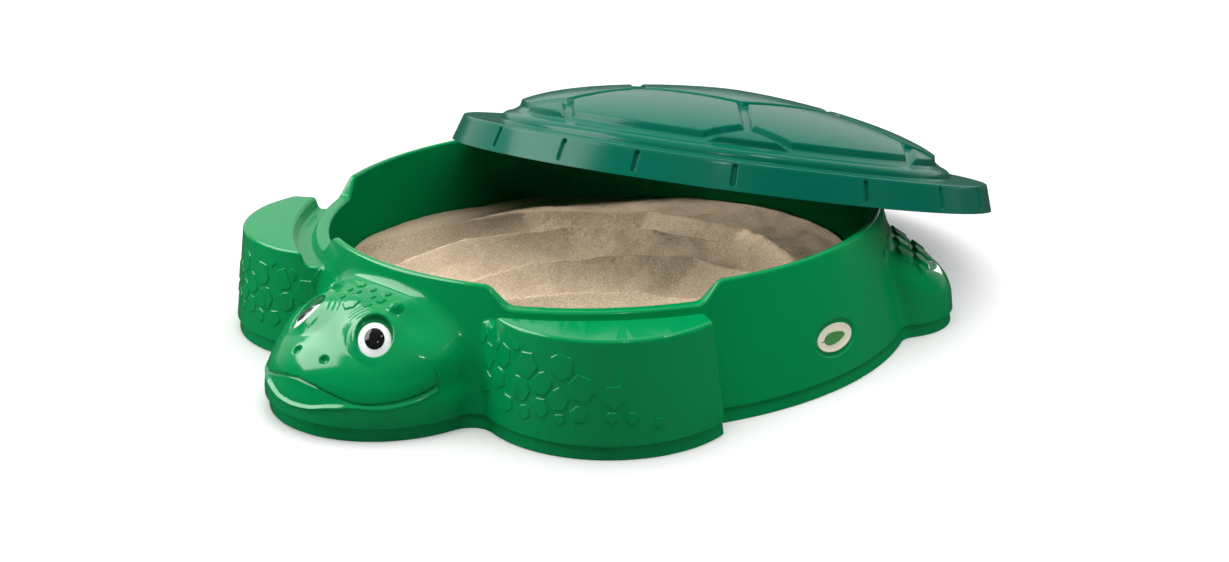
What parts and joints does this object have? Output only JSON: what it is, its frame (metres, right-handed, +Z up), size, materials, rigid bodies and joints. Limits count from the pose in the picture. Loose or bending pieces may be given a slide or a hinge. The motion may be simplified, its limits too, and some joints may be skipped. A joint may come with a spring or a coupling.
{
  "type": "covered sandbox",
  "caption": "Turtle-shaped play sandbox: hollow moulded tub with head, seats and feet, sand inside, and a loose domed shell cover propped half open.",
  "frame": {"origin": "on the ground at the centre of the tub's plan ellipse", "axes": "+Z up, head towards -Y, tail towards +Y, right-hand seat towards +X"},
  "size_m": [0.966, 1.4118, 0.3455],
  "materials": {
    "tub_plastic": "gloss",
    "cover_plastic": "satin",
    "sand": "matte",
    "badge_plastic": "satin",
    "eye_white": "gloss",
    "eye_black": "gloss"
  },
  "bodies": {
    "tub_body": {"tub": "tub_plastic", "sand_fill": "sand", "badge": "badge_plastic", "eye_white_left": "eye_white", "eye_white_right": "eye_white", "eye_pupil_left": "eye_black", "eye_pupil_right": "eye_black"},
    "cover_body": {"cover": "cover_plastic"}
  },
  "joints": [
    {"name": "cover_lift", "type": "slide", "parent": "tub_body", "child": "cover_body", "axis": [0, 0, 1], "range_m": [0, 0.35]}
  ]
}
